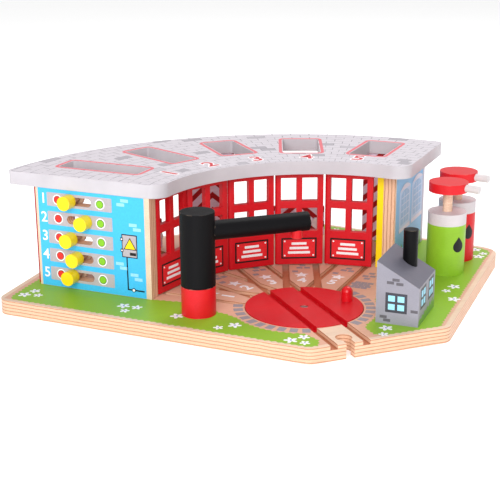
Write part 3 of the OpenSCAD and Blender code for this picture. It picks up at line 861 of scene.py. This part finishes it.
def print_doors():
    frame_ink = ink("sign_frame_ink", BLACK, UP)
    field_ink = ink("sign_field_ink", srgb(226, 34, 42), UP)
    line_ink = ink("sign_line_ink", WHITE, UP)
    for i in range(5):
        face = door_face(i)
        body = f"door_{i + 1}"
        border = Print(f"sign_frame_{i + 1}", body, frame_ink, "door_red")
        border.shape(face, rectangle(-15.3, 6, 15.3, 24.6, 0.4))
        border.build()
        field = Print(f"sign_field_{i + 1}", body, field_ink, "door_red")
        field.shape(face, rectangle(-13.9, 7.4, 13.9, 23.2), level=1)
        field.build()
        lines = Print(f"sign_lines_{i + 1}", body, line_ink, "door_red")
        for z, half in ((19.5, 6.5), (15.5, 8.2), (11.5, 9.6)):
            lines.shape(face, rectangle(-half, z - 1.1, half, z + 1.1, 0.5), level=2)
        for x in (-12.4, 12.4):
            for z in (8.9, 21.7):
                lines.shape(face, circle(x, z, 0.75, 12), level=2)
        lines.build()


# ---- Roof ----

# Each roof opening: front, back, middle and width, on its own stall's axes
VENTS = [(142, 215.5, -7.5, 23), (139.5, 203.5, -0.5, 25.6), (136.5, 191.5, 1, 28),
         (131.5, 189, -0.7, 32), (133.2, 191, -4.7, 30)]
OUTLINE_GAP, OUTLINE_W = 0.8, 2.7
ROOF_NUMBER_MIDDLE, ROOF_NUMBER_STEP = 86.9, 17.7  # heading of number 3, and between numbers
ROOF_NUMBER_R, ROOF_NUMBER_SIZE = 141, 22


def vent_loop(i, grow):
    """A roof opening's outline, grown outwards, on its own stall's axes."""
    start, end, left, width = VENTS[i]
    half = width / 2 + grow
    return rectangle(-left - half, start - grow, -left + half, end + grow, 2 + grow)


def print_roof():
    pink = Print("roof_outlines", "base", ink("outline_ink", srgb(226, 112, 122)), "roof_grey")
    halo = Print("roof_number_halos", "base", ink("roof_halo_ink", srgb(246, 240, 243)),
                 "roof_grey")
    red = Print("roof_numbers", "base", ink("roof_number_ink", srgb(208, 52, 62)), "roof_grey")
    for i in range(5):
        pink.shape(flat_on_stall(i, 0, z=ROOF_TOP), vent_loop(i, OUTLINE_GAP + OUTLINE_W),
                   vent_loop(i, OUTLINE_GAP))
        out = heading(ROOF_NUMBER_MIDDLE + ROOF_NUMBER_STEP * (2 - i))
        centre = ARC_CENTRE + out * ROOF_NUMBER_R
        place = surface((centre.x, centre.y, ROOF_TOP), (out.y, -out.x), out)
        halo.sign(place, str(i + 1), ROOF_NUMBER_SIZE, heavier=1.6)
        red.sign(place, str(i + 1), ROOF_NUMBER_SIZE, level=1, heavier=0.25)
    for film in (pink, halo, red):
        film.build()


# ---- House and tanks ----

HOUSE_TURN = 46.3
HOUSE_L, HOUSE_W = 49.7, 32.6


def house_surface(side, offset, right_turn):
    """A house wall: side and offset give its normal and distance from the house's centre."""
    centre = middle("house").xy
    out = heading(HOUSE_TURN + side)
    place = centre + out * offset
    return surface((place.x, place.y, BOARD_TOP), heading(HOUSE_TURN + right_turn), UP)


def print_house():
    gable = house_surface(180, HOUSE_L / 2, -90)
    front = house_surface(-90, HOUSE_W / 2, 0)
    rear_gable = house_surface(0, HOUSE_L / 2, 90)
    dark = Print("house_frames", "base", ink("house_frame_ink", srgb(66, 66, 76), UP),
                 "house_grey")
    glass = Print("house_panes", "base", ink("house_pane_ink", srgb(158, 222, 248), UP),
                  "house_grey")
    brick = Print("house_bricks", "base", ink("house_brick_ink", srgb(98, 94, 102), UP),
                  "house_grey")
    leaf = Print("house_ivy", "base", ink("ivy_ink", srgb(116, 160, 74), UP), "house_grey")

    def window(place, x, z, w, h, level=0):
        dark.shape(place, rectangle(x - w / 2, z, x + w / 2, z + h), level=level)
        for column in (-1, 1):
            for row in (0, 1):
                x0 = x + (1 if column > 0 else -w / 2 + 2.1)
                z0 = z + 2.1 + row * (h / 2 - 1.1)
                glass.shape(place, rectangle(x0, z0, x0 + w / 2 - 3.1, z0 + h / 2 - 3.1),
                            level=level + 1)

    for face, x in ((gable, -0.8), (rear_gable, 0.8)):
        window(face, x, 9.4, 16.5, 15.3)
    for x, z in ((-1.5, 35), (-5.6, 32.5), (1.5, 32), (-10.4, 5.4), (-7.6, 2.9), (13, 12)):
        brick.shape(gable, rectangle(x - 2.7, z - 1.1, x + 2.7, z + 1.1))
        brick.shape(rear_gable, rectangle(-x - 2.7, z - 1.1, -x + 2.7, z + 1.1))
    for x in (-11.6, 12.4):
        window(front, x, 12, 15.5, 16.3)
    tufts = [(-24.3 + 48.6 * i / 18, 3 + 6 * abs(math.sin(i * 1.1)) * (0.4 + i / 18))
             for i in range(19)]
    leaf.shape(front, jagged([(-24.3, 0.3), (24.3, 0.3)] + [(x, z) for x, z in reversed(tufts)],
                             1.6, 0.8))
    for film in (dark, glass, brick, leaf):
        film.build()


def drop(height, width):
    """A falling drop: a round foot drawn up to a point."""
    r = width / 2
    foot = arc(0, r, r, 150, 390, 18)
    return foot + [(r * 0.45, r * 2.05), (0, height), (-r * 0.45, r * 2.05)]


def print_tanks():
    black = ink("drop_ink", BLACK, UP)
    for colour, angle in (("green", -81), ("red", -79)):
        centre = middle(f"{colour}_tank")
        radius = (high(f"{colour}_tank").x - low(f"{colour}_tank").x) / 2
        out = heading(angle)
        place = surface((centre.x, centre.y, BOARD_TOP + 20.5), (-out.y, out.x), UP)
        film = Print(f"{colour}_tank_drop", "base", black, f"tank_{colour}")
        film.shape(place, drop(13.3, 10.2), radius=radius)
        film.build()


print_board()
print_left_wall()
print_right_wall()
print_doors()
print_roof()
print_house()
print_tanks()

# ---- Floor, light and camera ----


FLOOR_HALF = 12  # metres
CAMERA_PLACE = (-0.34085, -0.75401, 0.31312)  # metres
CAMERA_TURN = (72.87, 0.28, -21.51)  # degrees
LENS, SENSOR = 81.3, 36


def make_floor():
    mesh = bpy.data.meshes.new("floor")
    half = FLOOR_HALF
    mesh.from_pydata([(-half, -half, 0), (half, -half, 0), (half, half, 0), (-half, half, 0)], [],
                     [(0, 1, 2, 3)])
    floor = bpy.data.objects.new("floor", mesh)
    look = Look("floor_white")
    look.feed(look.shader.inputs["Base Color"], (0.93, 0.93, 0.93, 1))
    look.feed(look.shader.inputs["Emission Color"], (1, 1, 1, 1))
    look.feed(look.shader.inputs["Emission Strength"], 0.3)
    mesh.materials.append(look.finish(0.6))
    bpy.context.scene.collection.objects.link(floor)


def make_light(name, place, size, power, target=(0, 60, 40)):
    """A round soft light; its place and size are in metres, and its target in millimetres."""
    lamp = bpy.data.lights.new(name, "AREA")
    lamp.shape = "DISK"
    lamp.size = size
    lamp.energy = power
    light = bpy.data.objects.new(name, lamp)
    light.location = Vector(place)
    aim = Vector(target) * MM - light.location
    light.rotation_euler = aim.to_track_quat("-Z", "Y").to_euler()
    bpy.context.scene.collection.objects.link(light)


def make_world():
    world = bpy.data.worlds.new("studio")
    world.use_nodes = True
    background = world.node_tree.nodes["Background"]
    background.inputs[0].default_value = (1, 1, 1, 1)
    background.inputs[1].default_value = 0.65
    bpy.context.scene.world = world


def make_camera():
    lens = bpy.data.cameras.new("camera")
    lens.lens = LENS
    lens.sensor_width = SENSOR
    camera = bpy.data.objects.new("camera", lens)
    camera.location = CAMERA_PLACE
    camera.rotation_euler = [math.radians(a) for a in CAMERA_TURN]
    bpy.context.scene.collection.objects.link(camera)
    bpy.context.scene.camera = camera


make_floor()
make_world()
make_light("key", (0.9, 0.7, 1.5), 0.9, 13.5)
make_light("fill", (-1.0, -1.6, 1.0), 1.6, 36)
make_camera()
bpy.context.scene.view_settings.view_transform = "Standard"
